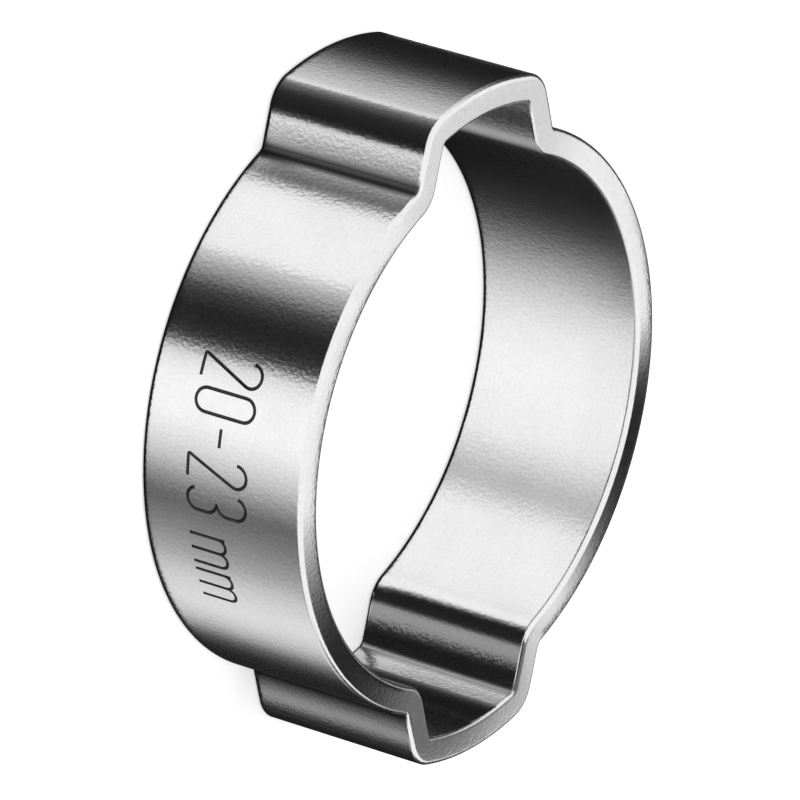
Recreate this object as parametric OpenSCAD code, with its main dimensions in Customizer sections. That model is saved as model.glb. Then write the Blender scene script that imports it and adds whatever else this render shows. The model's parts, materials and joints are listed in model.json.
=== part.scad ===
// Two-ear hose clamp: one seamless ring of steel strip, with an ear pressed outwards on each side.
// Pinching the ears with pincers takes up their gap and draws the ring tight on the hose.
// The clamp lies on a rim. The hose runs along Z and the ears point along +Y and -Y.

/* [Ring] */
// Inside diameter of the open ring, which slips over the end of the hose
bore_d = 23; // [21:0.1:26]

/* [Strip] */
// Thickness of the steel strip
band_t = 1.25; // [0.8:0.05:1.5]
// Width of the strip, measured along the hose
band_w = 8.2; // [6:0.1:10]
// Rounding of the four edges of the strip
edge_r = 0.22; // [0.1:0.01:0.3]

/* [Ears] */
// Angle at the middle of the bore between the centre line of an ear and each of its feet
foot_angle = 23; // [20:0.5:26]
// Inside radius of the outward bend at each foot
foot_r = 0.35; // [0.2:0.05:0.6]
// Lean of each leg towards the centre line of its ear, where it leaves the foot
leg_lean = 15.5; // [8:0.5:24]
// Length of each leg, from its foot to its shoulder
leg_l = 1.7; // [1:0.1:3]
// Inside radius of the bend at each shoulder
shoulder_r = 0.35; // [0.2:0.05:0.8]
// Slope of the arched roof where it meets each shoulder
roof_slope = 14; // [8:0.5:20]

/* [Hidden] */
$fn = 96;

// Angle by which each bend runs into its neighbours, far too small to see, so that all join as one solid
lap = 0.000001;
// Angle that a leg turns along its length, because a pressed leg bows slightly outwards
leg_turn = 2;
// Lean of a leg where it runs into the shoulder
shoulder_lean = leg_lean + leg_turn;

// Radii of the middle of the strip
ring_mid = (bore_d + band_t) / 2;
foot_mid = foot_r + band_t / 2;
leg_mid = leg_l / (leg_turn * PI / 180);
shoulder_mid = shoulder_r + band_t / 2;

// Centres of the bends of one quarter of the clamp, each from the one before it, because
// two bends that run into each other have the point where they meet in line with both centres
foot_c = (ring_mid + foot_mid) * heading(90 - foot_angle);
leg_c = foot_c - (foot_mid + leg_mid) * heading(leg_lean);
shoulder_c = leg_c + (leg_mid - shoulder_mid) * heading(shoulder_lean);

// The roof takes the radius that brings it level on the centre line of the ear
roof_mid = shoulder_mid + shoulder_c.x / sin(roof_slope);
roof_c = shoulder_c - (roof_mid - shoulder_mid) * heading(90 - roof_slope);

// Unit vector at an angle from +X
function heading(angle) = [cos(angle), sin(angle)];

// Moves its children in a coarse and then a fine step, which keeps the ends of two bends face to face
module place(offset) {
    coarse = [for (c = offset) round(c * 1000) / 1000];
    translate(coarse)
        translate(offset - coarse)
            children();
}

// Section of the strip, with its four edges rounded, standing on the X axis and centred on the Y axis
module strip_section() {
    translate([0, band_w / 2]) {
        square([band_t, band_w - 2 * edge_r], center = true);
        square([band_t - 2 * edge_r, band_w], center = true);
        for (x = [-1, 1], y = [-1, 1])
            translate([x * (band_t / 2 - edge_r), y * (band_w / 2 - edge_r)])
                circle(r = edge_r);
    }
}

// One bend of the strip round centre, from the angle start over the angle turn, both seen from +X
module bend(centre, radius, start, turn) {
    place(centre)
        rotate_extrude(angle = turn + 2 * lap, start = start - lap)
            place([radius, 0])
                strip_section();
}

// The side of the ring on +X, from the foot of one ear to the foot of the other
module ring_side() {
    bend([0, 0], ring_mid, foot_angle - 90, 180 - 2 * foot_angle);
}

// The rise of an ear on +X: the foot, the leg and the shoulder
module rise() {
    bend(foot_c, foot_mid, 180 + leg_lean, 90 - foot_angle - leg_lean);
    bend(leg_c, leg_mid, leg_lean, leg_turn);
    bend(shoulder_c, shoulder_mid, shoulder_lean, 90 - roof_slope - shoulder_lean);
}

// The arched roof of an ear, which the pincers pull down as they pinch the legs together
module roof() {
    bend(roof_c, roof_mid, 90 - roof_slope, 2 * roof_slope);
}

// The ear on +Y: a rise on each side, with the roof between them
module ear() {
    for (side = [0, 1])
        mirror([side, 0, 0])
            rise();
    roof();
}

// The whole strip: two sides of the ring and two ears, each pair alike
module clamp_band() {
    color([0.72, 0.73, 0.75]) {
        for (side = [0, 1])
            mirror([side, 0, 0])
                ring_side();
        for (end = [0, 1])
            mirror([0, end, 0])
                ear();
    }
}

clamp_band();
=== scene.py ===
"""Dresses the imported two-ear hose clamp: rolled strip, size mark, plated finish and a small studio."""

import json
import logging
import math
from dataclasses import dataclass, field
from enum import Enum
from typing import Any, Iterator

import bpy
from mathutils import Matrix, Vector


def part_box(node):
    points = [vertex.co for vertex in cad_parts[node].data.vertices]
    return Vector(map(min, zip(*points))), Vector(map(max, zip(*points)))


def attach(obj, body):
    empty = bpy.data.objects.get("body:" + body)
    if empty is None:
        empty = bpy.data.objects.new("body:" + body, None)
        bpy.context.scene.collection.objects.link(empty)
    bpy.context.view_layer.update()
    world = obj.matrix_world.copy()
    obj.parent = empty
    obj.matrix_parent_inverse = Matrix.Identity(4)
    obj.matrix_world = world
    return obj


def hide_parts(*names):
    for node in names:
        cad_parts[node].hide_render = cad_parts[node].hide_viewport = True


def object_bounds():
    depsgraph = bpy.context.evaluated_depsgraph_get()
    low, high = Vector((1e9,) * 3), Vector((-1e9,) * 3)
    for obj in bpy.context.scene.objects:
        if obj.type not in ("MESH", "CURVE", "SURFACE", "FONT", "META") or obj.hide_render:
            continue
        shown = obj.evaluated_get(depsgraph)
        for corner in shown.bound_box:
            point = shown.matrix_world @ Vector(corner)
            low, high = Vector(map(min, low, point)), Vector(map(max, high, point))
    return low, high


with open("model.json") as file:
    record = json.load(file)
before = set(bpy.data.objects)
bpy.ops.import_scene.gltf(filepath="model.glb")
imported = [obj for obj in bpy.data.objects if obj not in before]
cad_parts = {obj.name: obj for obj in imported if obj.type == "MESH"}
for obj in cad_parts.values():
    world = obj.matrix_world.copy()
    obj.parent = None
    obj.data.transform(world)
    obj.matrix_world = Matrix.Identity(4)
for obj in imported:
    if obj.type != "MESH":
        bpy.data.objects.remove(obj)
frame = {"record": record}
cad_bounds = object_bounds()

MM = 0.001
NODE = "clamp_band"
BODY = "root"
SLOT = "plated_steel"
FOLD = "fold"
SIDE = "side"
CREASE_SHADE = "crease"
GROOVE = "groove"
CORNERS = 4
GUARDS = 2

Socket = bpy.types.NodeSocket

log = logging.getLogger("hose_clamp")


def heading(degrees: float) -> Vector:
    """Unit vector in the plane of the table, at an angle from +X.

    Args:
        degrees: The angle, counted towards +Y.

    Returns:
        The vector, with no height.
    """
    angle = math.radians(degrees)
    return Vector((math.cos(angle), math.sin(angle), 0.0))


def grey(level: float) -> tuple[float, float, float, float]:
    """An opaque grey colour."""
    return level, level, level, 1.0


def into_scene(name: str, data: Any) -> bpy.types.Object:
    """Makes an object and links it to the scene.

    Args:
        name: The object's name.
        data: Its mesh, camera or lamp.

    Returns:
        The object.
    """
    thing = bpy.data.objects.new(name, data)
    bpy.context.scene.collection.objects.link(thing)
    return thing


class NodeWriter:
    """Adds nodes to one node tree and joins them."""

    def __init__(self, tree: bpy.types.NodeTree) -> None:
        """Keeps the tree, which starts empty.

        Args:
            tree: The geometry, shader or world tree to write in.
        """
        self.tree = tree
        tree.nodes.clear()

    def add(self, kind: str, inputs: dict[Any, Any] | None = None, **settings: Any) -> bpy.types.Node:
        """Adds one node.

        Args:
            kind: The node's type, such as ShaderNodeMath.
            inputs: What each input gets, by its name or number: a value, or a socket to join it to.
            settings: The node's own settings.

        Returns:
            The new node.
        """
        node = self.tree.nodes.new(kind)
        for name, value in settings.items():
            setattr(node, name, value)
        for key, value in (inputs or {}).items():
            if isinstance(value, Socket):
                self.tree.links.new(value, node.inputs[key])
            else:
                node.inputs[key].default_value = value
        return node

    def maths(self, operation: str, *values: Any) -> Socket:
        """Adds a Math node for numbers or sockets, in the order of its inputs, and gives its result."""
        return self.add("ShaderNodeMath", dict(enumerate(values)), operation=operation).outputs[0]

    def vector(self, x: Any, y: Any, z: Any) -> Socket:
        """Adds a Combine XYZ node and gives its vector."""
        return self.add("ShaderNodeCombineXYZ", {0: x, 1: y, 2: z}).outputs[0]

    def mix(self, share: Any, low: Any, high: Any) -> Socket:
        """Adds a Mix node that goes from one number to another by a share, and gives its result."""
        return self.add("ShaderNodeMix", {0: share, 2: low, 3: high}, data_type="FLOAT").outputs[0]

    def attribute(self, name: str) -> Socket:
        """Adds a node that reads a named attribute of the geometry, and gives its value."""
        return self.add("GeometryNodeInputNamedAttribute", {"Name": name}, data_type="FLOAT").outputs[0]

    def store(self, geometry: Socket, name: str, value: Any, domain: str = "POINT") -> Socket:
        """Adds a node that stores a named attribute.

        Args:
            geometry: What gets the attribute.
            name: The attribute's name.
            value: A number or a socket.
            domain: POINT or FACE.

        Returns:
            The geometry's socket.
        """
        inputs = {"Geometry": geometry, "Name": name, "Value": value}
        node = self.add("GeometryNodeStoreNamedAttribute", inputs, data_type="FLOAT", domain=domain)
        return node.outputs[0]

    def noise(self, place: Socket, size: float, detail: float) -> Socket:
        """Adds a Noise Texture node.

        Args:
            place: The coordinates that it reads.
            size: The size of its largest spots, in the coordinates' own units.
            detail: How many finer layers it has.

        Returns:
            The value's socket.
        """
        inputs = {"Vector": place, "Scale": 1 / size, "Detail": detail}
        return self.add("ShaderNodeTexNoise", inputs).outputs[0]

    def span(self, value: Socket, ends: tuple[float, float], soft: bool = False) -> Socket:
        """Adds a Map Range node that turns a span of values into 0 to 1.

        Args:
            value: What it reads.
            ends: The values that become 0 and 1.
            soft: Whether it eases in and out.

        Returns:
            The result's socket.
        """
        inputs = {"Value": value, "From Min": ends[0], "From Max": ends[1]}
        kind = "SMOOTHSTEP" if soft else "LINEAR"
        return self.add("ShaderNodeMapRange", inputs, interpolation_type=kind).outputs[0]


def new_material(name: str) -> tuple[bpy.types.Material, NodeWriter]:
    """Makes a material.

    Args:
        name: The material's name.

    Returns:
        The material, and the writer of its empty tree.
    """
    material = bpy.data.materials.new(name)
    material.use_nodes = True
    return material, NodeWriter(material.node_tree)


class GeometryTree:
    """A Geometry Nodes tree with named inputs, which is run once on a piece and leaves a plain mesh."""

    def __init__(self, name: str) -> None:
        """Makes the empty tree with its geometry input and output.

        Args:
            name: The tree's name.
        """
        self.tree = bpy.data.node_groups.new(name, "GeometryNodeTree")
        self.nodes = NodeWriter(self.tree)
        self.tree.interface.new_socket("Geometry", in_out="INPUT", socket_type="NodeSocketGeometry")
        self.tree.interface.new_socket("Geometry", in_out="OUTPUT", socket_type="NodeSocketGeometry")
        self.values: dict[str, Any] = {}
        self.entry = self.nodes.add("NodeGroupInput")

    def take(self, name: str, kind: str, value: Any) -> Socket:
        """Adds a named input.

        Args:
            name: The input's name.
            kind: Float, Int, Material or Object.
            value: What the modifier passes in.

        Returns:
            The input's socket inside the tree.
        """
        item = self.tree.interface.new_socket(name, in_out="INPUT", socket_type=f"NodeSocket{kind}")
        self.values[item.identifier] = value
        return self.entry.outputs[name]

    def finish(self, geometry: Socket, material: Socket) -> None:
        """Ends the tree in Realize Instances and Set Material.

        Args:
            geometry: What the tree has made.
            material: The finish that it gets.
        """
        real = self.nodes.add("GeometryNodeRealizeInstances", {"Geometry": geometry})
        inputs = {"Geometry": real.outputs[0], "Material": material}
        dressed = self.nodes.add("GeometryNodeSetMaterial", inputs)
        self.nodes.add("NodeGroupOutput", {"Geometry": dressed.outputs[0]})

    def run(self, source: bpy.types.Mesh, name: str) -> bpy.types.Object:
        """Runs the tree on a mesh.

        Args:
            source: The mesh that goes in.
            name: The name of the piece that comes out.

        Returns:
            A piece with a plain mesh and no modifier.
        """
        carrier = into_scene(f"{name}_carrier", source)
        modifier = carrier.modifiers.new("tree", "NODES")
        modifier.node_group = self.tree
        for identifier, value in self.values.items():
            modifier[identifier] = value
        depsgraph = bpy.context.evaluated_depsgraph_get()
        mesh = bpy.data.meshes.new_from_object(carrier.evaluated_get(depsgraph), depsgraph=depsgraph)
        mesh.name = name
        bpy.data.objects.remove(carrier)
        return into_scene(name, mesh)


def polyline(name: str, lines: list[list[Vector]], closed: bool) -> bpy.types.Mesh:
    """A mesh of edges only.

    Args:
        name: The mesh's name.
        lines: The points of each line, in order.
        closed: Whether each line ends where it began.

    Returns:
        The mesh.
    """
    points: list[Vector] = []
    edges: list[tuple[int, int]] = []
    for line in lines:
        first = len(points)
        points += line
        edges += [(first + i, first + i + 1) for i in range(len(line) - 1)]
        if closed:
            edges.append((len(points) - 1, first))
    mesh = bpy.data.meshes.new(name)
    mesh.from_pydata(points, edges, [])
    return mesh


class Fold(Enum):
    """Which face of the strip a bend hollows, and how strongly painted crease shade darkens the plating in
    that hollow.
    """

    NONE = 0.0
    OUTER = 1.0
    INNER = -0.55


@dataclass(frozen=True)
class Bend:
    """An arc of the middle of the strip, in degrees and metres."""

    centre: Vector
    radius: float
    start: float
    end: float
    fold: Fold = Fold.NONE

    @property
    def length(self) -> float:
        """Length of the bend."""
        return self.radius * math.radians(abs(self.end - self.start))

    def points(self, step: float) -> Iterator[Vector]:
        """The arc's points, without the last, which the next bend begins with.

        Args:
            step: The largest angle between two points.

        Yields:
            The points in order.
        """
        count = math.ceil(abs(self.end - self.start) / step)
        for i in range(count):
            yield self.centre + self.radius * heading(self.start + (self.end - self.start) * i / count)

    def borders(self, step: float, reach: float) -> Iterator[tuple[Vector, Vector]]:
        """Pairs of points beside the arc, toward the inside of the clamp and toward its outside.

        Args:
            step: The largest angle between two pairs.
            reach: How far each point stands from the arc.

        Yields:
            The pairs in order.
        """
        side = math.copysign(reach / self.radius, self.end - self.start)
        for point in self.points(step):
            spoke = point - self.centre
            yield point - side * spoke, point + side * spoke

    def mirrored(self) -> "Bend":
        """The same bend on the other side of the ear, walked the other way."""
        centre = Vector((-self.centre.x, self.centre.y, 0.0))
        return Bend(centre, self.radius, 180.0 - self.end, 180.0 - self.start, self.fold)

    def turned(self) -> "Bend":
        """The same bend on the other half of the clamp."""
        return Bend(-self.centre, self.radius, self.start + 180.0, self.end + 180.0, self.fold)


@dataclass(frozen=True)
class PlatedSteel:
    """Cold rolled strip under bright zinc plate: a clean grey mirror with a fine grain along the band.

    Its greys come from faint clouds, by their share, and from the grain and the plating's specks. The
    details are the finer layers of the three. Painted shade darkens the hollows of tight bends and the
    engraved grooves.
    """

    light: float = 0.83
    dark: float = 0.71
    grey_ends: tuple[float, float] = (0.3, 0.7)
    # Painted crease shade: the grey that the hollows of tight bends are darkened towards.
    crease_shade_color: float = 0.09
    # Painted shade in the engraved grooves: the grey that their faces are darkened to.
    groove_shade_color: float = 0.05
    roughness: float = 0.19
    roughness_swing: float = 0.10
    hollow_roughness: float = 0.45
    cloud_size: float = 2.4 * MM
    cloud_share: float = 0.35
    grain_pitch: float = 0.06 * MM
    grain_length: float = 0.4 * MM
    grain_height: float = 0.0005 * MM
    speck_size: float = 0.16 * MM
    speck_height: float = 0.0072 * MM
    cloud_detail: float = 3.0
    grain_detail: float = 2.0
    speck_detail: float = 1.0

    def material(self) -> bpy.types.Material:
        """Builds the finish.

        Returns:
            The material, which reads Object coordinates and the band's own hollows and grooves, which it
            darkens with painted shade.
        """
        material, nodes = new_material(SLOT)
        place = nodes.add("ShaderNodeTexCoord").outputs["Object"]
        stretch = (1 / self.grain_length, 1 / self.grain_length, 1 / self.grain_pitch)
        along = nodes.add("ShaderNodeVectorMath", {0: place, 1: stretch}, operation="MULTIPLY").outputs[0]
        clouds = nodes.noise(place, self.cloud_size, self.cloud_detail)
        grain = nodes.noise(along, 1.0, self.grain_detail)
        specks = nodes.noise(place, self.speck_size, self.speck_detail)
        mottle = nodes.maths("MULTIPLY", nodes.maths("ADD", grain, specks), 0.5)
        # Masks for painted shade: the hollows of tight bends, and the engraved grooves.
        crease = nodes.add("ShaderNodeAttribute", attribute_name=CREASE_SHADE).outputs["Fac"]
        groove = nodes.add("ShaderNodeAttribute", attribute_name=GROOVE).outputs["Fac"]
        shade = nodes.span(nodes.mix(self.cloud_share, mottle, clouds), self.grey_ends)
        tone = self.blend(nodes, shade, self.dark, self.light)
        # Painted crease shade darkens the hollow of each tight bend.
        tone = self.blend(nodes, crease, tone, self.crease_shade_color)
        # Painted groove shade darkens the engraved strokes.
        tone = self.blend(nodes, groove, tone, self.groove_shade_color)
        swing = nodes.maths("MULTIPLY", nodes.maths("SUBTRACT", mottle, 0.5), self.roughness_swing)
        rough = nodes.maths("ADD", swing, self.roughness)
        rough = nodes.mix(nodes.maths("MAXIMUM", crease, groove), rough, self.hollow_roughness)
        streaks = nodes.maths("MULTIPLY", grain, self.grain_height / MM)
        relief = nodes.maths("MULTIPLY_ADD", specks, self.speck_height / MM, streaks)
        bump = nodes.add("ShaderNodeBump", {"Height": relief, "Distance": MM, "Strength": 1.0})
        shader = nodes.add(
            "ShaderNodeBsdfPrincipled",
            {"Base Color": tone, "Metallic": 1.0, "Roughness": rough, "Normal": bump.outputs[0]},
        )
        nodes.add("ShaderNodeOutputMaterial", {0: shader.outputs[0]})
        return material

    @staticmethod
    def blend(nodes: NodeWriter, share: Socket, low: Any, high: Any) -> Socket:
        """Mixes two greys.

        Args:
            nodes: The tree to write in.
            share: How much of the second grey there is.
            low: The first grey, a number or a colour's socket.
            high: The second grey.

        Returns:
            The colour's socket.
        """
        ends = [grey(end) if isinstance(end, float) else end for end in (low, high)]
        return nodes.add("ShaderNodeMix", {0: share, 6: ends[0], 7: ends[1]}, data_type="RGBA").outputs[2]


@dataclass
class SizeMark:
    """The range of hose sizes, engraved along the band in plain single-stroke figures.

    The sizes of a figure are in letter heights, but the dash's inset and the arches of an m go by a
    figure's width. A round bar stands for the graver's tip, whose middle stays a little above the
    strip's face.
    """

    text: str = "20-23 mm"
    letter_height: float = 3.0 * MM
    letter_width: float = 0.34
    letter_gap: float = 0.14
    space: float = 0.12
    low_height: float = 0.6
    middle: float = 0.5
    dash_inset: float = 0.1
    arch_share: float = 0.7
    two_end: float = -30.0
    three_end: float = 165.0
    groove_radius: float = 0.085 * MM
    groove_rise: float = 0.03 * MM
    bar_sides: int = 12
    bearing: float = 180.0
    height: float = 3.9 * MM
    arc_step: float = 15.0
    stroke_step: float = 0.12 * MM

    def strokes(self, letter: str) -> tuple[float, list[list[Vector]]]:
        """The strokes of one letter, in letter heights.

        Args:
            letter: One of the letters that the mark uses.

        Returns:
            The letter's width, and each stroke's points.
        """
        wide = self.letter_width
        half = wide / 2
        top = 1 - half
        if letter == "2":
            foot = [Vector((0, 0, 0)), Vector((wide, 0, 0))]
            return wide, [self.arc(half, top, half, 180, self.two_end) + foot]
        if letter == "0":
            loop = self.arc(half, top, half, 0, 180) + self.arc(half, half, half, 180, 360)
            return wide, [loop + [loop[0]]]
        if letter == "3":
            middle, end = self.middle, self.three_end
            upper = self.arc(half, top, half, end, 0) + self.arc(half, middle + half, half, 0, -90)
            lower = self.arc(half, middle - half, half, 90, 0) + self.arc(half, half, half, 0, -end)
            return wide, [upper + lower[1:]]
        if letter == "-":
            inset = self.dash_inset
            return wide, [[Vector((share * wide, self.middle, 0)) for share in (inset, 1 - inset)]]
        if letter == "m":
            arch = self.arch_share * half
            spring = self.low_height - arch
            strokes = [[Vector((0, 0, 0)), Vector((0, self.low_height, 0))]]
            for middle in (arch, 3 * arch):
                leg = Vector((middle + arch, 0, 0))
                strokes.append(self.arc(middle, spring, arch, 180, 0) + [leg])
            return 4 * arch, strokes
        return self.space, []

    def arc(self, x: float, y: float, radius: float, start: float, end: float) -> list[Vector]:
        """Points along a round stroke.

        Args:
            x: The centre's place along the text.
            y: The centre's height.
            radius: The arc's radius.
            start: The angle it starts at.
            end: The angle it ends at.

        Returns:
            The points, both ends among them.
        """
        count = math.ceil(abs(end - start) / self.arc_step)
        centre = Vector((x, y, 0))
        return [centre + radius * heading(start + (end - start) * i / count) for i in range(count + 1)]

    def lines(self) -> list[list[Vector]]:
        """Every stroke of the text, in metres, centred on the origin.

        Returns:
            The strokes' points.
        """
        found: list[list[Vector]] = []
        across = 0.0
        for letter in self.text:
            width, strokes = self.strokes(letter)
            found += [[p + Vector((across, 0, 0)) for p in stroke] for stroke in strokes]
            across += width + self.letter_gap
        middle = Vector(((across - self.letter_gap) / 2, self.middle, 0))
        return [[(p - middle) * self.letter_height for p in stroke] for stroke in found]

    def guide(self) -> bpy.types.Object:
        """The strokes as a helper object, which is in no collection, so that nothing shows it."""
        return bpy.data.objects.new("mark_strokes", polyline("mark_strokes", self.lines(), closed=False))


@dataclass
class ClampBand:
    """The whole clamp: one strip, bent into a ring with an ear on each side.

    Each ear stands on two feet at an angle from its centre line. A leg leaves its foot with a lean
    towards that line, turns a little along its length, because it bows outwards, and ends in a shoulder.
    The roof is arched between the shoulders. A bend's size is its inside radius.

    The guards are points beside an edge's rounding, which keep the flats flat in shading. The rows keep
    the faces small where the mark is engraved, and the inset is how far up its rounding an edge still
    counts as wall, as a share of its radius.
    """

    bore_radius: float
    ring_radius: float
    width: float
    edge_radius: float = 0.22 * MM
    foot_angle: float = 23.0
    foot_bend: float = 0.35 * MM
    leg_lean: float = 15.5
    leg_turn: float = 2.0
    leg_length: float = 1.7 * MM
    shoulder_bend: float = 0.35 * MM
    roof_slope: float = 14.0
    long_step: float = 0.5
    short_step: float = 2.5
    edge_steps: int = 8
    edge_guard: float = 0.03 * MM
    wall_rows: int = 26
    wall_inset: float = 0.3
    # How far beside a tight bend the painted crease shade fades out.
    crease_shade_fade: float = 0.3 * MM
    sharp_angle: float = 30.0
    mark: SizeMark = field(default_factory=SizeMark)

    @classmethod
    def from_frame(cls) -> "ClampBand":
        """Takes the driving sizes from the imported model.

        Returns:
            The band.
        """
        _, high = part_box(NODE)
        mounts = {mount["name"]: mount for mount in frame["record"]["mounts"]}
        bore = mounts["hose_seat"]["dims"]["r_mm"] * MM
        return cls(bore_radius=bore, ring_radius=high.x, width=high.z)

    @property
    def thickness(self) -> float:
        """Thickness of the strip."""
        return self.ring_radius - self.bore_radius

    def bends(self) -> list[Bend]:
        """The bends of the middle of the strip, once round.

        Returns:
            The bends in order, from the foot of one ear on +X.
        """
        half = self.thickness / 2
        ring = self.bore_radius + half
        foot = self.foot_bend + half
        leg = self.leg_length / math.radians(self.leg_turn)
        shoulder = self.shoulder_bend + half
        lean = self.leg_lean + self.leg_turn
        foot_at = (ring + foot) * heading(90 - self.foot_angle)
        leg_at = foot_at - (foot + leg) * heading(self.leg_lean)
        shoulder_at = leg_at + (leg - shoulder) * heading(lean)
        roof = shoulder + shoulder_at.x / math.sin(math.radians(self.roof_slope))
        roof_at = shoulder_at - (roof - shoulder) * heading(90 - self.roof_slope)
        rise = [
            Bend(foot_at, foot, 270 - self.foot_angle, 180 + self.leg_lean, Fold.OUTER),
            Bend(leg_at, leg, self.leg_lean, lean),
            Bend(shoulder_at, shoulder, lean, 90 - self.roof_slope, Fold.INNER),
        ]
        side = Bend(Vector((0, 0, 0)), ring, self.foot_angle - 90, 90 - self.foot_angle)
        over = Bend(roof_at, roof, 90 - self.roof_slope, 90 + self.roof_slope)
        walk = [side, *rise, over, *[bend.mirrored() for bend in reversed(rise)]]
        return walk + [bend.turned() for bend in walk]

    def path(self) -> bpy.types.Mesh:
        """The middle of the strip as a closed line.

        Returns:
            The line's mesh.
        """
        points: list[Vector] = []
        places: list[float] = []
        spans: list[tuple[float, float, float]] = []
        gone = 0.0
        for bend in self.bends():
            tight = bend.fold is not Fold.NONE
            part = list(bend.points(self.short_step if tight else self.long_step))
            points += part
            places += [gone + bend.length * i / len(part) for i in range(len(part))]
            if tight:
                spans.append((gone + bend.length / 2, bend.length / 2, bend.fold.value))
            gone += bend.length
        mesh = polyline("band_path", [points], closed=True)
        # The fold attribute carries how strong each tight bend's painted crease shade is.
        folds = [self.fold_at(place, spans, gone) for place in places]
        mesh.attributes.new(FOLD, "FLOAT", "POINT").data.foreach_set("value", folds)
        return mesh

    def border(self, reach: float) -> list[tuple[Vector, Vector]]:
        """The two lines that follow the strip's faces at a distance, once round.

        Args:
            reach: The distance from the faces.

        Returns:
            The pairs of points, inside and outside.
        """
        beside = self.thickness / 2 + reach
        pairs = [pair for bend in self.bends() for pair in bend.borders(self.short_step, beside)]
        return [*pairs, pairs[0]]

    def fold_at(self, place: float, spans: list[tuple[float, float, float]], total: float) -> float:
        """How much painted crease shade a tight bend gives at one place: all in the bend, and less beside
        it.

        Args:
            place: The distance along the strip.
            spans: The middle, half the length and the fold of each tight bend.
            total: The strip's length.

        Returns:
            The fold, above zero where the outer face is hollow and below it where the inner face is.
        """
        found = 0.0
        for middle, half, fold in spans:
            apart = abs(place - middle)
            beside = min(apart, total - apart) - half
            share = 1.0 - min(max(beside / self.crease_shade_fade, 0.0), 1.0)
            if abs(fold * share) > abs(found):
                found = fold * share
        return found

    def outline(self, tree: GeometryTree, per_corner: Socket) -> Socket:
        """Writes the outline of the strip's section: a rectangle whose corners are arcs.

        Each corner has a guard point, the arc's points and another guard point, all found from their number.

        Args:
            tree: The tree to write in.
            per_corner: How many points a corner has.

        Returns:
            The outline's closed curve.
        """
        nodes = tree.nodes
        thickness = tree.take("Thickness", "Float", self.thickness)
        width = tree.take("Width", "Float", self.width)
        radius = tree.take("Edge Radius", "Float", self.edge_radius)
        guard = tree.take("Edge Guard", "Float", self.edge_guard)
        steps = tree.entry.outputs["Edge Steps"]
        points = nodes.add("GeometryNodePoints", {"Count": nodes.maths("MULTIPLY", per_corner, CORNERS)})
        index = nodes.add("GeometryNodeInputIndex").outputs[0]
        corner = nodes.maths("FLOOR", nodes.maths("DIVIDE", nodes.maths("ADD", index, 0.5), per_corner))
        first = nodes.maths("MULTIPLY", corner, per_corner)
        number = nodes.maths("SUBTRACT", nodes.maths("SUBTRACT", index, first), 1.0)
        within = nodes.maths("MAXIMUM", nodes.maths("MINIMUM", number, steps), 0.0)
        beyond = nodes.maths("MULTIPLY", nodes.maths("SUBTRACT", number, within), guard)
        turn = nodes.maths("ADD", corner, nodes.maths("DIVIDE", within, steps))
        angle = nodes.maths("MULTIPLY", turn, math.pi / 2)
        diagonal = nodes.maths("MULTIPLY", nodes.maths("ADD", corner, 0.5), math.pi / 2)
        cosine = nodes.maths("COSINE", angle)
        sine = nodes.maths("SINE", angle)
        place = []
        for size, trig, outward, along in (
            (thickness, "COSINE", cosine, nodes.maths("MULTIPLY", sine, -1.0)),
            (width, "SINE", sine, cosine),
        ):
            reach = nodes.maths("SUBTRACT", nodes.maths("MULTIPLY", size, 0.5), radius)
            centre = nodes.maths("MULTIPLY", reach, nodes.maths("SIGN", nodes.maths(trig, diagonal)))
            arc = nodes.maths("MULTIPLY_ADD", radius, outward, centre)
            place.append(nodes.maths("MULTIPLY_ADD", beyond, along, arc))
        spread = nodes.vector(place[0], place[1], 0.0)
        moved = nodes.add("GeometryNodeSetPosition", {"Geometry": points.outputs[0], "Position": spread})
        curve = nodes.add("GeometryNodePointsToCurves", {"Points": moved.outputs[0]})
        closed = nodes.add("GeometryNodeSetSplineCyclic", {"Geometry": curve.outputs[0], "Cyclic": True})
        return closed.outputs[0]

    def section(self, tree: GeometryTree) -> Socket:
        """Writes the strip's section, which knows its outer and inner face and has rows on the outer one.

        Args:
            tree: The tree to write in.

        Returns:
            The section's closed curve.
        """
        nodes = tree.nodes
        steps = tree.take("Edge Steps", "Int", self.edge_steps)
        per_corner = nodes.maths("ADD", steps, 1.0 + GUARDS)
        outline = self.outline(tree, per_corner)
        width, radius = (tree.entry.outputs[name] for name in ("Width", "Edge Radius"))
        across = nodes.add("ShaderNodeSeparateXYZ", {0: nodes.add("GeometryNodeInputPosition").outputs[0]})
        inset = nodes.maths("MULTIPLY", radius, -self.wall_inset)
        wall = nodes.maths("MULTIPLY_ADD", width, 0.5, inset)
        upright = nodes.maths("LESS_THAN", nodes.maths("ABSOLUTE", across.outputs["Y"]), wall)
        side = nodes.maths("MULTIPLY", nodes.maths("SIGN", across.outputs["X"]), upright)
        sided = nodes.store(outline, SIDE, side)
        last = nodes.maths("SUBTRACT", nodes.maths("MULTIPLY", per_corner, CORNERS), 1.0)
        outer = nodes.maths("COMPARE", nodes.add("GeometryNodeInputIndex").outputs[0], last, 0.5)
        cuts = nodes.maths("MULTIPLY", outer, tree.take("Wall Rows", "Int", self.wall_rows))
        return nodes.add("GeometryNodeSubdivideCurve", {"Curve": sided, "Cuts": cuts}).outputs[0]

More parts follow.
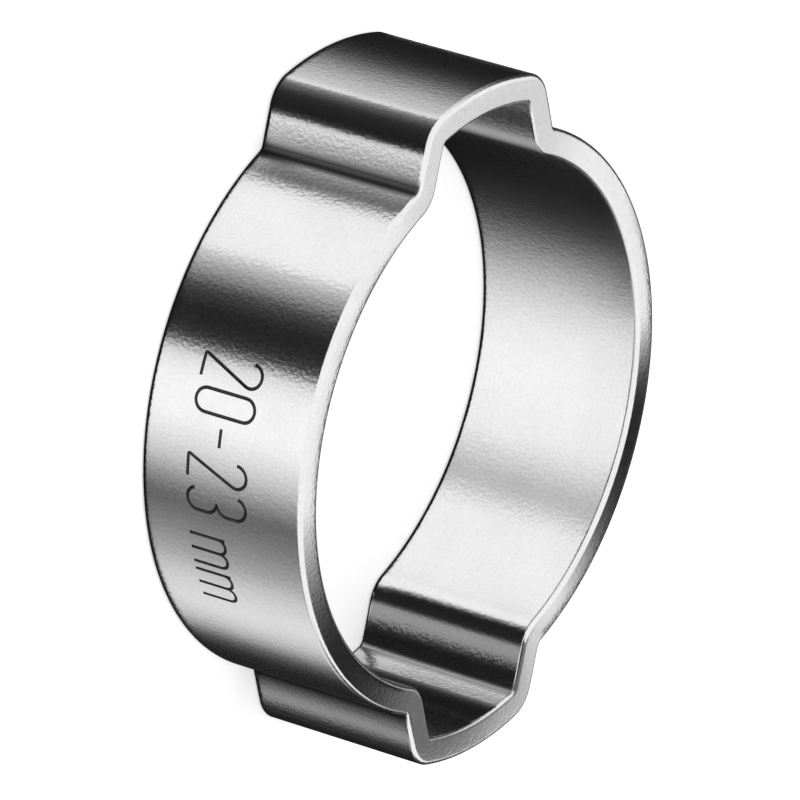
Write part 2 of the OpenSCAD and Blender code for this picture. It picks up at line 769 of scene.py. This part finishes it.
    def strip(self, tree: GeometryTree) -> Socket:
        """Writes the sweep of the section along the path.

        Args:
            tree: The tree to write in.

        Returns:
            The strip's mesh, standing on the table.
        """
        nodes = tree.nodes
        path = nodes.add("GeometryNodeMeshToCurve", {"Mesh": tree.entry.outputs["Geometry"]})
        upright = nodes.add("GeometryNodeSetCurveNormal", {"Curve": path.outputs[0]}, mode="Z_UP")
        section = self.section(tree)
        swept = nodes.add("GeometryNodeCurveToMesh", {"Curve": upright.outputs[0], "Profile Curve": section})
        lift = nodes.vector(0.0, 0.0, nodes.maths("MULTIPLY", tree.entry.outputs["Width"], 0.5))
        lifted = nodes.add("GeometryNodeSetPosition", {"Geometry": swept.outputs[0], "Offset": lift})
        # Painted crease shade goes on the hollow face of each tight bend.
        hollow = nodes.maths("MULTIPLY", nodes.attribute(FOLD), nodes.attribute(SIDE))
        return nodes.store(lifted.outputs[0], CREASE_SHADE, nodes.maths("MAXIMUM", hollow, 0.0))

    def grooves(self, tree: GeometryTree) -> Socket:
        """Writes the graver's path: a round bar along each stroke of the mark, wrapped on the ring.

        Args:
            tree: The tree to write in.

        Returns:
            The bars' mesh.
        """
        nodes = tree.nodes
        strokes = tree.take("Mark Strokes", "Object", self.mark.guide())
        bar = tree.take("Groove Radius", "Float", self.mark.groove_radius)
        ring = tree.take("Mark Radius", "Float", self.ring_radius + self.mark.groove_rise)
        bearing = tree.take("Mark Bearing", "Float", math.radians(self.mark.bearing))
        height = tree.take("Mark Height", "Float", self.mark.height)
        step = tree.take("Stroke Step", "Float", self.mark.stroke_step)
        info = nodes.add("GeometryNodeObjectInfo", {"Object": strokes})
        flat = nodes.add("GeometryNodeMeshToCurve", {"Mesh": info.outputs["Geometry"]})
        inputs = {"Curve": flat.outputs[0], "Length": step}
        fine = nodes.add("GeometryNodeResampleCurve", inputs, mode="LENGTH")
        place = nodes.add("ShaderNodeSeparateXYZ", {0: nodes.add("GeometryNodeInputPosition").outputs[0]})
        angle = nodes.maths("ADD", nodes.maths("DIVIDE", place.outputs["X"], ring), bearing)
        wrapped = nodes.vector(
            nodes.maths("MULTIPLY", nodes.maths("COSINE", angle), ring),
            nodes.maths("MULTIPLY", nodes.maths("SINE", angle), ring),
            nodes.maths("ADD", place.outputs["Y"], height),
        )
        laid = nodes.add("GeometryNodeSetPosition", {"Geometry": fine.outputs[0], "Position": wrapped})
        inputs = {"Resolution": self.mark.bar_sides, "Radius": bar}
        tip = nodes.add("GeometryNodeCurvePrimitiveCircle", inputs)
        bars = nodes.add(
            "GeometryNodeCurveToMesh",
            {"Curve": laid.outputs[0], "Profile Curve": tip.outputs[0], "Fill Caps": True},
        )
        joined = nodes.add(
            "GeometryNodeMeshBoolean",
            {"Mesh 2": bars.outputs[0], "Self Intersection": True},
            operation="UNION",
            solver="EXACT",
        )
        # Marks the groove faces, which the finish darkens with painted shade.
        return nodes.store(joined.outputs[0], GROOVE, 1.0, domain="FACE")

    def build(self, finish: PlatedSteel) -> bpy.types.Object:
        """Makes the clamp.

        Args:
            finish: The plated steel.

        Returns:
            The piece, ready for the frame.
        """
        tree = GeometryTree("clamp_strip")
        material = tree.take("Finish", "Material", finish.material())
        nodes = tree.nodes
        strip = self.strip(tree)
        cut = nodes.add(
            "GeometryNodeMeshBoolean",
            {"Mesh 1": strip, "Mesh 2": self.grooves(tree)},
            operation="DIFFERENCE",
            solver="MANIFOLD",
        )
        inputs = {"Geometry": cut.outputs[0], "Shade Smooth": True}
        soft = nodes.add("GeometryNodeSetShadeSmooth", inputs, domain="FACE")
        angle = nodes.add("GeometryNodeInputMeshEdgeAngle").outputs["Unsigned Angle"]
        hard = nodes.add(
            "GeometryNodeSetShadeSmooth",
            {
                "Geometry": soft.outputs[0],
                "Selection": nodes.maths("GREATER_THAN", angle, math.radians(self.sharp_angle)),
                "Shade Smooth": False,
            },
            domain="EDGE",
        )
        tree.finish(hard.outputs[0], material)
        return tree.run(self.path(), "clamp_strip")


@dataclass(frozen=True)
class View:
    """The camera: where it stands from the middle of the clamp, and how it is rolled."""

    bearing: float = 153.1
    elevation: float = 32.44
    distance: float = 439 * MM
    lens: float = 468.8
    up: tuple[float, float, float] = (0.2977, 0.9240, -0.2401)
    aside: tuple[float, float] = (-0.080 * MM, -0.038 * MM)

    def place(self, target: Vector) -> bpy.types.Object:
        """Stands the camera.

        Args:
            target: The middle of the clamp.

        Returns:
            The scene's camera.
        """
        level = math.radians(self.elevation)
        back = heading(self.bearing) * math.cos(level) + Vector((0, 0, math.sin(level)))
        right = Vector(self.up).cross(back).normalized()
        up = back.cross(right)
        data = bpy.data.cameras.new("camera")
        data.lens = self.lens
        camera = into_scene("camera", data)
        place = target + back * self.distance + right * self.aside[0] + up * self.aside[1]
        camera.matrix_world = Matrix.Translation(place) @ Matrix((right, up, back)).transposed().to_4x4()
        bpy.context.scene.camera = camera
        return camera


@dataclass(frozen=True)
class Tone:
    """How light the studio is at one bearing."""

    bearing: float
    level: float


Scale = tuple[Tone, ...]


def tones(*pairs: tuple[float, float]) -> Scale:
    """A scale of tones, from the bearing and the level of each stop, in order of bearing."""
    return tuple(Tone(bearing, level) for bearing, level in pairs)


def level_at(scale: Scale, bearing: float) -> float:
    """Reads a scale of tones between its stops.

    Args:
        scale: The tones, in order of bearing.
        bearing: Where to read it.

    Returns:
        The level.
    """
    if bearing <= scale[0].bearing:
        return scale[0].level
    for low, high in zip(scale, scale[1:]):
        if bearing <= high.bearing:
            share = (bearing - low.bearing) / (high.bearing - low.bearing)
            return low.level + share * (high.level - low.level)
    return scale[-1].level


@dataclass
class Card:
    """A studio card that only the metal shows: a band between two edges, shaded along its length.

    Only light that the metal mirrors a second time meets a deep card.
    """

    name: str
    deep: bool = False
    rows: list[tuple[Vector, Vector, float]] = field(default_factory=list)

    def add(self, low: Vector, high: Vector, level: float) -> None:
        """Adds a row: its points on the first and the second edge, and how light the card is there."""
        self.rows.append((low, high, level))

    def stand(self, material: bpy.types.Material) -> None:
        """Stands the card in the studio.

        Args:
            material: The glow that reads the card's levels.
        """
        points = [point for low, high, _ in self.rows for point in (low, high)]
        faces = [(2 * i, 2 * i + 2, 2 * i + 3, 2 * i + 1) for i in range(len(self.rows) - 1)]
        mesh = bpy.data.meshes.new(self.name)
        mesh.from_pydata(points, [], faces)
        levels = mesh.attributes.new("level", "FLOAT", "POINT")
        levels.data.foreach_set("value", [level for _, _, level in self.rows for _ in range(2)])
        mesh.materials.append(material)
        card = into_scene(self.name, mesh)
        for sight in ("camera", "diffuse", "transmission", "volume_scatter", "shadow"):
            setattr(card, f"visible_{sight}", False)


@dataclass(frozen=True)
class Fence:
    """An upright card along a bent line: its corners and ends, in millimetres.

    Each corner is its place and how light the card is there.
    """

    name: str
    corners: tuple[tuple[float, float, float], ...]
    low: float = -6.5
    high: float = 8.2

    def card(self) -> Card:
        """Makes the card.

        Returns:
            The card, in metres.
        """
        card = Card(self.name)
        for x, y, level in self.corners:
            low, high = (MM * Vector((x, y, height)) for height in (self.low, self.high))
            card.add(low, high, level)
        return card


@dataclass
class Cards:
    """Dark and light cards round the clamp, which give the bare metal its dark streaks.

    A wall whose face looks along a bearing mirrors to the camera what lies at twice that bearing less
    the camera's. So the tones of a card go by the bearing of the wall, or of the place on the rim, that
    mirrors it, and only the far card's by its own. Only rays that the metal mirrors meet the cards.

    A reach is the distance from the middle to a card, from the rim to the cards that it mirrors, or from
    the bore's wall to the card in front of it. The foot shade is a dark line on the table, which is
    narrower inside an ear by a share of its width.
    """

    band: ClampBand
    eye_bearing: float
    eye_elevation: float
    ring_low: float = -6.5 * MM
    ring_reach: float = 18.75 * MM
    rows_per_degree: int = 2
    rim_reach: float = 8.0 * MM
    rim_band: tuple[float, float] = (8.6 * MM, 15.6 * MM)
    edge_reach: float = 1.5 * MM
    outer_edge_band: tuple[float, float] = (12.45 * MM, 12.95 * MM)
    inner_edge_band: tuple[float, float] = (11.2 * MM, 11.82 * MM)
    far_reach: float = 17.0 * MM
    far_heights: tuple[float, float] = (-4.2 * MM, 4.5 * MM)
    wall_reach: float = 0.6 * MM
    wall_heights: tuple[float, float] = (-5.0 * MM, 3.0 * MM)
    wall_bearings: tuple[int, int] = (-48, 42)
    wall_level: float = 0.01
    foot_shade: float = 0.36 * MM
    foot_shade_level: float = 0.01
    foot_shade_drop: float = 0.005 * MM
    pocket_start: float = 11.0 * MM
    pocket_trim: float = 0.12
    ring_tones: Scale = tones(
        (136, 0.76), (140, 0.36), (143, 0.06), (147, 0.015), (153, 0.02), (154, 0.08), (156, 0.96),
        (161, 1.20), (168, 1.20), (172, 1.00), (176, 0.72), (180, 0.36), (184, 0.13), (190, 0.27),
        (196, 0.46), (202, 0.80), (208, 0.95), (213, 0.78), (217, 0.45), (220, 0.09), (226, 0.012),
    )
    rim_tones: Scale = tones(
        (-178, 0.85), (-168, 0.40), (-158, 0.08), (-148, 0.01), (-136, 0.01), (-124, 0.04),
        (-113, 0.21), (-105, 0.17), (-97, 0.17), (-92, 0.24), (-85, 0.38), (-80, 0.52),
        (-76, 0.53), (-72, 0.72), (-68, 0.84), (-63, 1.05), (-58, 0.95), (-50, 0.50), (-42, 0.14),
        (-34, 0.04), (-24, 0.01), (-14, 0.01), (-8, 0.06), (-2, 0.40), (4, 1.00),
    )
    top_rim_tones: Scale = tones((60, 1.05), (66, 0.86), (90, 0.82), (114, 0.90), (120, 1.05))
    outer_edge_tones: Scale = tones((-66, 0.01), (14, 0.01), (36, 1.05))
    inner_edge_tones: Scale = tones((118, 1.05), (130, 0.01), (244, 0.01))
    far_tones: Scale = tones(
        (-62, 0.35), (-52, 0.95), (-38, 1.00), (-31, 0.25), (-24, 0.10), (-17, 0.60), (-6, 1.05),
        (12, 0.95), (19, 0.30), (25, 0.12), (33, 0.70), (46, 1.00), (54, 0.50),
    )
    fences: tuple[Fence, ...] = (
        Fence(
            "shoulder_card",
            (
                (-5.9, 13.55, 0.01), (-5.7, 17.0, 0.03), (-5.4, 20.5, 0.09), (-4.0, 20.8, 0.16),
                (-2.0, 20.8, 0.42),
            ),
        ),
        Fence(
            "foot_card",
            (
                (-5.55, -12.3, 0.01), (-5.35, -13.6, 0.10), (-5.2, -14.2, 0.36), (-5.2, -14.7, 0.36),
                (-5.15, -15.2, 0.05), (-5.0, -17.5, 0.01),
            ),
        ),
        Fence(
            "foot_card_back",
            (
                (-5.72, -11.42, 0.01), (-5.58, -12.3, 0.01), (-5.38, -13.6, 0.01), (-5.23, -14.2, 0.01),
                (-5.03, -17.5, 0.01),
            ),
        ),
        Fence(
            "low_pocket_foot_card",
            (
                (2.6, -5.6, 0.70), (2.6, -6.6, 0.60), (2.6, -7.6, 0.25), (2.6, -8.4, 0.05),
                (2.6, -9.0, 0.01), (2.6, -11.1, 0.02), (2.6, -11.35, 0.12), (2.6, -11.55, 0.35),
                (2.6, -11.72, 0.40),
            ),
            low=-1.4,
        ),
        Fence(
            "low_pocket_leg_card",
            (
                (1.0, -8.0, 0.30), (1.0, -9.0, 0.15), (1.0, -10.5, 0.02), (1.0, -11.3, 0.03),
                (1.0, -11.5, 0.38), (1.0, -12.0, 0.42), (1.0, -12.2, 0.04), (1.0, -12.35, 0.01),
                (1.0, -13.0, 0.01),
            ),
            low=-2.2,
        ),
        Fence(
            "low_pocket_roof_card",
            (
                (1.9, -12.3, 0.01), (1.9, -13.22, 0.01), (1.9, -13.42, 0.04), (1.9, -13.62, 0.20),
            ),
            low=-2.2,
        ),
        Fence(
            "bore_card",
            (
                (8.0, -12.5, 0.03), (5.9, -12.5, 0.05), (3.8, -12.5, 0.11), (1.6, -12.5, 0.24),
                (-0.8, -12.5, 0.43), (-3.7, -12.5, 0.62),
            ),
            low=-12.5,
            high=-5.0,
        ),
        Fence(
            "top_pocket_card",
            (
                (0.8, 9.5, 0.01), (1.5, 9.5, 0.01), (1.75, 9.5, 0.03), (2.1, 9.5, 0.20),
                (2.4, 9.5, 0.34), (3.0, 9.5, 0.42), (3.5, 9.5, 0.43), (3.9, 9.5, 0.36),
                (4.25, 9.5, 0.23), (4.65, 9.5, 0.08), (5.1, 9.5, 0.03), (5.5, 9.5, 0.02),
            ),
            low=2.0,
        ),
    )

    def material(self, deep: bool) -> bpy.types.Material:
        """Builds the cards' glow.

        Args:
            deep: Whether it is for deep cards.

        Returns:
            The material.
        """
        material, nodes = new_material("deep_card" if deep else "card")
        level = nodes.add("ShaderNodeAttribute", attribute_name="level").outputs["Fac"]
        surface = nodes.add("ShaderNodeEmission", {"Strength": level}).outputs[0]
        if deep:
            depth = nodes.add("ShaderNodeLightPath").outputs["Glossy Depth"]
            again = nodes.maths("GREATER_THAN", depth, 1.0)
            clear = nodes.add("ShaderNodeBsdfTransparent").outputs[0]
            surface = nodes.add("ShaderNodeMixShader", {0: again, 1: clear, 2: surface}).outputs[0]
        nodes.add("ShaderNodeOutputMaterial", {0: surface})
        return material

    def upright(self, name: str, rows: list[tuple[Vector, float]], heights: tuple[float, float]) -> Card:
        """An upright card.

        Args:
            name: The card's name.
            rows: Each row's place on the table, and how light the card is there.
            heights: The card's lower and upper end.

        Returns:
            The card.
        """
        card = Card(name)
        low, high = (Vector((0, 0, height)) for height in heights)
        for place, level in rows:
            card.add(place + low, place + high, level)
        return card

    def ring_card(self) -> Card:
        """The curved card beside the ring, shaded by the bearing of the wall that mirrors it.

        Returns:
            The card.
        """
        rows: list[tuple[Vector, float]] = []
        first, last = round(self.ring_tones[0].bearing), round(self.ring_tones[-1].bearing)
        for step in range(self.rows_per_degree * (last - first) + 1):
            bearing = first + step / self.rows_per_degree
            slant = math.radians(bearing - self.eye_bearing)
            across = self.band.ring_radius * math.sin(slant)
            run = math.sqrt(self.ring_reach**2 - across**2) - self.band.ring_radius * math.cos(slant)
            place = self.band.ring_radius * heading(bearing) + run * heading(2 * bearing - self.eye_bearing)
            rows.append((place, level_at(self.ring_tones, bearing)))
        return self.upright("ring_card", rows, (self.ring_low, self.band.width))

    def rim_card(self, name: str, scale: Scale, reach: float, band: tuple[float, float]) -> Card:
        """A level card over the far side, shaded by the place on the rim that mirrors it.

        Args:
            name: The card's name.
            scale: Its tones, by the bearing of that place.
            reach: How far the rays run from the rim to the card.
            band: The inner and the outer radius of the places that mirror it.

        Returns:
            The card.
        """
        card = Card(name)
        level = math.radians(self.eye_elevation)
        shift = reach * math.cos(level) * heading(self.eye_bearing + 180)
        shift.z = self.band.width + reach * math.sin(level)
        count = round(scale[-1].bearing - scale[0].bearing)
        for step in range(count + 1):
            bearing = scale[0].bearing + step
            inner, outer = (shift + radius * heading(bearing) for radius in band)
            card.add(inner, outer, level_at(scale, bearing))
        return card

    def rim_cards(self) -> list[Card]:
        """The level cards for the rim, for the upper ear's rim and for the rim's two rounded edges.

        Returns:
            The cards.
        """
        rim, edge = self.rim_reach, self.edge_reach
        return [
            self.rim_card("rim_card", self.rim_tones, rim, self.rim_band),
            self.rim_card("top_rim_card", self.top_rim_tones, rim, self.rim_band),
            self.rim_card("outer_edge_card", self.outer_edge_tones, edge, self.outer_edge_band),
            self.rim_card("inner_edge_card", self.inner_edge_tones, edge, self.inner_edge_band),
        ]

    def far_card(self) -> Card:
        """The streaked card beyond the far side, which only the views from there mirror.

        Returns:
            The card.
        """
        first, last = round(self.far_tones[0].bearing), round(self.far_tones[-1].bearing)
        bearings = range(first, last + 1)
        rows = [(self.far_reach * heading(at), level_at(self.far_tones, at)) for at in bearings]
        return self.upright("far_card", rows, self.far_heights)

    def wall_card(self) -> Card:
        """The dark deep card close along the bore's far wall.

        Returns:
            The card.
        """
        first, last = self.wall_bearings
        reach = self.band.bore_radius - self.wall_reach
        rows = [(reach * heading(at), self.wall_level) for at in range(first, last + 1)]
        card = self.upright("wall_card", rows, self.wall_heights)
        card.deep = True
        return card

    def contact_card(self) -> Card:
        """The dark line on the table along both faces of the strip, where it stands in its own shade.

        It is narrower inside the ears, whose walls would mirror it twice.

        Returns:
            The card.
        """
        card = Card("contact_card")
        drop = Vector((0, 0, self.foot_shade_drop))
        for inner, outer in self.band.border(self.foot_shade):
            trim = self.pocket_trim if abs(inner.y) > self.pocket_start else 0.0
            card.add(inner.lerp(outer, trim) - drop, outer - drop, self.foot_shade_level)
        return card

    def build(self) -> None:
        """Stands every card."""
        materials = {deep: self.material(deep) for deep in (True, False)}
        cards = [
            self.wall_card(),
            self.ring_card(),
            *self.rim_cards(),
            self.far_card(),
            self.contact_card(),
            *[fence.card() for fence in self.fences],
        ]
        for card in cards:
            card.stand(materials[card.deep])
            log.info("%s: %d rows", card.name, len(card.rows))


@dataclass
class Studio:
    """A pale table in a soft white tent, with a dark room beyond the tent's far side.

    The low tones are what the metal sees below the table, by their own bearing. Haze heights and far sky
    heights are heights of a ray's direction, between which the tones and the dark room turn into the
    tent. The floor lift makes the table white for the camera. The lamp's power is in watts.
    """

    eye_bearing: float
    floor_size: float = 4.0
    floor_color: float = 0.86
    floor_lift: float = 0.42
    light_level: float = 0.85
    sky_level: float = 1.12
    low_tones: Scale = tones(
        (0, 0.012), (22, 0.012), (32, 0.05), (40, 0.28), (52, 0.75), (62, 0.80), (69, 0.90),
        (75, 1.12), (118, 1.14), (130, 0.50), (151, 1.14), (185, 1.18), (200, 1.10), (212, 0.86),
        (225, 0.58), (238, 0.26), (250, 0.07), (262, 0.03), (285, 0.012), (360, 0.012),
    )
    haze_heights: tuple[float, float] = (-0.45, 0.05)
    far_sky_level: float = 0.05
    far_sky_half_width: float = 75.0
    far_sky_blend: float = 0.25
    far_sky_heights: tuple[float, float] = (0.47, 0.32)
    lamp_place: tuple[float, float, float] = (-0.25, 0.2, 0.5)
    lamp_size: float = 0.3
    lamp_power: float = 0.6

    def ramp(self, nodes: NodeWriter, place: Socket, scale: Scale) -> Socket:
        """Writes a grey scale over the bearings.

        Args:
            nodes: The tree to write in.
            place: The bearing, as a share of the full circle.
            scale: The tones at their bearings.

        Returns:
            The grey.
        """
        node = nodes.add("ShaderNodeValToRGB", {0: place})
        stops = node.color_ramp.elements
        while len(stops) > 1:
            stops.remove(stops[-1])
        for i, tone in enumerate(scale):
            stop = stops[0] if i == 0 else stops.new(tone.bearing / 360)
            stop.position = tone.bearing / 360
            stop.color = grey(tone.level)
        return node.outputs[0]

    def tent(self) -> None:
        """Sets the world: white behind all, plain soft light, and tones below the table for the metal."""
        world = bpy.data.worlds.new("tent")
        world.use_nodes = True
        bpy.context.scene.world = world
        nodes = NodeWriter(world.node_tree)
        way = nodes.add("ShaderNodeSeparateXYZ", {0: nodes.add("ShaderNodeTexCoord").outputs["Generated"]})
        turn = nodes.maths("DIVIDE", nodes.maths("ARCTAN2", way.outputs["Y"], way.outputs["X"]), 2 * math.pi)
        low = self.ramp(nodes, nodes.maths("FRACT", turn), self.low_tones)
        rise = nodes.span(way.outputs["Z"], self.haze_heights, soft=True)
        tone = nodes.mix(rise, low, self.sky(nodes, way))
        path = nodes.add("ShaderNodeLightPath").outputs
        seen = nodes.maths("ADD", path["Is Camera Ray"], path["Is Transmission Ray"])
        plain = nodes.maths("SUBTRACT", nodes.maths("SUBTRACT", 1.0, seen), path["Is Glossy Ray"])
        light = nodes.maths("MULTIPLY_ADD", plain, self.light_level, seen)
        strength = nodes.maths("MULTIPLY_ADD", path["Is Glossy Ray"], tone, light)
        background = nodes.add("ShaderNodeBackground", {"Color": grey(1.0), "Strength": strength})
        nodes.add("ShaderNodeOutputWorld", {0: background.outputs[0]})

    def sky(self, nodes: NodeWriter, way: bpy.types.Node) -> Socket:
        """Writes the tent above the table: white, but for the dark room beyond its far side, low down.

        Args:
            nodes: The world's tree.
            way: The node that splits the direction.

        Returns:
            The level.
        """
        far = heading(self.eye_bearing + 180)
        across = nodes.maths("MULTIPLY", way.outputs["Y"], far.y)
        toward = nodes.maths("MULTIPLY_ADD", way.outputs["X"], far.x, across)
        edge = math.cos(math.radians(self.far_sky_half_width))
        sideways = nodes.span(toward, (edge - self.far_sky_blend, edge + self.far_sky_blend), soft=True)
        low = nodes.span(way.outputs["Z"], self.far_sky_heights, soft=True)
        return nodes.mix(nodes.maths("MULTIPLY", sideways, low), self.sky_level, self.far_sky_level)

    def floor(self) -> None:
        """Lays the table under the clamp."""
        half = self.floor_size / 2
        mesh = bpy.data.meshes.new("floor")
        corners = [(-half, -half, 0), (half, -half, 0), (half, half, 0), (-half, half, 0)]
        mesh.from_pydata(corners, [], [(0, 1, 2, 3)])
        material, nodes = new_material("floor")
        matt = nodes.add("ShaderNodeBsdfDiffuse", {"Color": grey(self.floor_color)})
        path = nodes.add("ShaderNodeLightPath").outputs
        seen = nodes.maths("MULTIPLY", path["Is Camera Ray"], self.floor_lift)
        glow = nodes.add("ShaderNodeEmission", {"Strength": seen})
        both = nodes.add("ShaderNodeAddShader", {0: matt.outputs[0], 1: glow.outputs[0]})
        nodes.add("ShaderNodeOutputMaterial", {0: both.outputs[0]})
        mesh.materials.append(material)
        floor = into_scene("floor", mesh)
        floor.visible_glossy = False

    def lamp(self) -> None:
        """Hangs the square soft lamp, which faces the clamp and isn't mirrored by it."""
        data = bpy.data.lights.new("key_lamp", "AREA")
        data.shape = "SQUARE"
        data.size = self.lamp_size
        data.energy = self.lamp_power
        lamp = into_scene("key_lamp", data)
        lamp.location = self.lamp_place
        lamp.rotation_euler = Vector(self.lamp_place).to_track_quat("Z", "Y").to_euler()
        lamp.visible_glossy = False

    def build(self) -> None:
        """Sets up the whole studio."""
        bpy.context.scene.view_settings.view_transform = "Standard"
        self.tent()
        self.floor()
        self.lamp()


def main() -> None:
    """Builds the clamp and its studio, and reports each piece."""
    logging.basicConfig(level=logging.INFO, format="%(name)s: %(message)s")
    band = ClampBand.from_frame()
    log.info("strip %.2f by %.2f mm", band.thickness / MM, band.width / MM)
    piece = band.build(PlatedSteel())
    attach(piece, BODY)
    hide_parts(NODE)
    log.info("%s: %d faces", piece.name, len(piece.data.polygons))
    low, high = cad_bounds
    view = View()
    view.place(Vector((0, 0, (low.z + high.z) / 2)))
    Studio(view.bearing).build()
    Cards(band, view.bearing, view.elevation).build()


if __name__ == "__main__":
    main()
